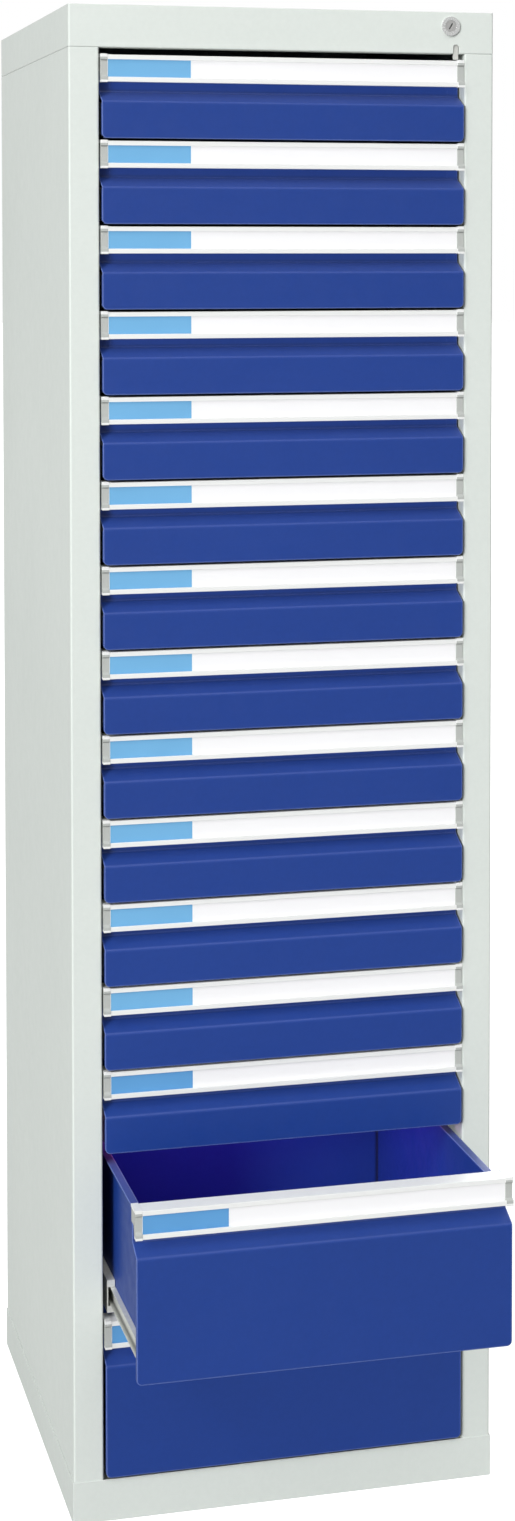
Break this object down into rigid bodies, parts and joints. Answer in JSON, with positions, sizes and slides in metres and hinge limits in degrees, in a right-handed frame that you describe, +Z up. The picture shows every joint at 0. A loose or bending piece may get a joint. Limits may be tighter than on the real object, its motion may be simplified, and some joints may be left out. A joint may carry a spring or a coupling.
{
  "type": "drawer cabinet",
  "caption": "Tall narrow steel cabinet with full-width drawers on ball slides, label grips, a cylinder lock in the top cap and a plinth; one deep drawer stands open.",
  "frame": {"origin": "on the floor, under the middle of the carcass", "axes": "+X to the right, -Y out of the drawer fronts, +Z up"},
  "size_m": [0.522, 0.7221, 1.8],
  "materials": {
    "grey_paint": "satin powder coat",
    "blue_paint": "satin powder coat",
    "grip_aluminium": "anodised, with grey end caps and blank labels under a clear cover",
    "zinc": "zinc plated",
    "lock_chrome": "polished"
  },
  "bodies": {
    "cabinet": {"left_side_panel": "grey_paint", "right_side_panel": "grey_paint", "top_cap": "grey_paint", "base_plinth": "grey_paint", "deck_stiffener": "zinc", "back_panel": "grey_paint", "rail_posts": "zinc", "left_rails": "zinc", "right_rails": "zinc", "lock_housing": "lock_chrome", "bar_guides": "zinc"},
    "drawer_01": {"drawer_01_box": "blue_paint", "drawer_01_grip": "grip_aluminium", "drawer_01_runners": "zinc"},
    "drawer_02": {"drawer_02_box": "blue_paint", "drawer_02_grip": "grip_aluminium", "drawer_02_runners": "zinc"},
    "drawer_03": {"drawer_03_box": "blue_paint", "drawer_03_grip": "grip_aluminium", "drawer_03_runners": "zinc"},
    "drawer_04": {"drawer_04_box": "blue_paint", "drawer_04_grip": "grip_aluminium", "drawer_04_runners": "zinc"},
    "drawer_05": {"drawer_05_box": "blue_paint", "drawer_05_grip": "grip_aluminium", "drawer_05_runners": "zinc"},
    "drawer_06": {"drawer_06_box": "blue_paint", "drawer_06_grip": "grip_aluminium", "drawer_06_runners": "zinc"},
    "drawer_07": {"drawer_07_box": "blue_paint", "drawer_07_grip": "grip_aluminium", "drawer_07_runners": "zinc"},
    "drawer_08": {"drawer_08_box": "blue_paint", "drawer_08_grip": "grip_aluminium", "drawer_08_runners": "zinc"},
    "drawer_09": {"drawer_09_box": "blue_paint", "drawer_09_grip": "grip_aluminium", "drawer_09_runners": "zinc"},
    "drawer_10": {"drawer_10_box": "blue_paint", "drawer_10_grip": "grip_aluminium", "drawer_10_runners": "zinc"},
    "drawer_11": {"drawer_11_box": "blue_paint", "drawer_11_grip": "grip_aluminium", "drawer_11_runners": "zinc"},
    "drawer_12": {"drawer_12_box": "blue_paint", "drawer_12_grip": "grip_aluminium", "drawer_12_runners": "zinc"},
    "drawer_13": {"drawer_13_box": "blue_paint", "drawer_13_grip": "grip_aluminium", "drawer_13_runners": "zinc"},
    "drawer_14": {"drawer_14_box": "blue_paint", "drawer_14_grip": "grip_aluminium", "drawer_14_runners": "zinc"},
    "drawer_15": {"drawer_15_box": "blue_paint", "drawer_15_grip": "grip_aluminium", "drawer_15_runners": "zinc"},
    "ball_cages": {"drawer_14_ball_cages": "zinc"},
    "lock_core": {"lock_plug": "lock_chrome", "lock_cam": "zinc"},
    "bar": {"locking_bar": "zinc"}
  },
  "joints": [
    {"name": "drawer_01_slide", "type": "slide", "parent": "cabinet", "child": "drawer_01", "axis": [0, -1, 0], "range_m": [0, 0.39]},
    {"name": "drawer_02_slide", "type": "slide", "parent": "cabinet", "child": "drawer_02", "axis": [0, -1, 0], "range_m": [0, 0.39]},
    {"name": "drawer_03_slide", "type": "slide", "parent": "cabinet", "child": "drawer_03", "axis": [0, -1, 0], "range_m": [0, 0.39]},
    {"name": "drawer_04_slide", "type": "slide", "parent": "cabinet", "child": "drawer_04", "axis": [0, -1, 0], "range_m": [0, 0.39]},
    {"name": "drawer_05_slide", "type": "slide", "parent": "cabinet", "child": "drawer_05", "axis": [0, -1, 0], "range_m": [0, 0.39]},
    {"name": "drawer_06_slide", "type": "slide", "parent": "cabinet", "child": "drawer_06", "axis": [0, -1, 0], "range_m": [0, 0.39]},
    {"name": "drawer_07_slide", "type": "slide", "parent": "cabinet", "child": "drawer_07", "axis": [0, -1, 0], "range_m": [0, 0.39]},
    {"name": "drawer_08_slide", "type": "slide", "parent": "cabinet", "child": "drawer_08", "axis": [0, -1, 0], "range_m": [0, 0.39]},
    {"name": "drawer_09_slide", "type": "slide", "parent": "cabinet", "child": "drawer_09", "axis": [0, -1, 0], "range_m": [0, 0.39]},
    {"name": "drawer_10_slide", "type": "slide", "parent": "cabinet", "child": "drawer_10", "axis": [0, -1, 0], "range_m": [0, 0.39]},
    {"name": "drawer_11_slide", "type": "slide", "parent": "cabinet", "child": "drawer_11", "axis": [0, -1, 0], "range_m": [0, 0.39]},
    {"name": "drawer_12_slide", "type": "slide", "parent": "cabinet", "child": "drawer_12", "axis": [0, -1, 0], "range_m": [0, 0.39]},
    {"name": "drawer_13_slide", "type": "slide", "parent": "cabinet", "child": "drawer_13", "axis": [0, -1, 0], "range_m": [0, 0.39]},
    {"name": "drawer_14_slide", "type": "slide", "parent": "cabinet", "child": "drawer_14", "axis": [0, -1, 0], "range_m": [-0.185, 0.205]},
    {"name": "drawer_15_slide", "type": "slide", "parent": "cabinet", "child": "drawer_15", "axis": [0, -1, 0], "range_m": [0, 0.39]},
    {"name": "ball_cages_slide", "type": "slide", "parent": "cabinet", "child": "ball_cages", "axis": [0, -1, 0], "range_m": [-0.0926, 0.1026]},
    {"name": "bar_lift", "type": "slide", "parent": "cabinet", "child": "bar", "axis": [0, 0, 1], "range_m": [0, 0.0099]},
    {"name": "lock_turn", "type": "hinge", "parent": "cabinet", "child": "lock_core", "pos_m": [0.206, -0.265, 1.783], "axis": [0, 1, 0], "range_deg": [0, 90]}
  ],
  "couplings": [
    {"joint": "ball_cages_slide", "follows": "drawer_14_slide", "ratio": 0.5},
    {"joint": "lock_turn", "follows": "bar_lift", "rad_per_m": 158.62}
  ]
}
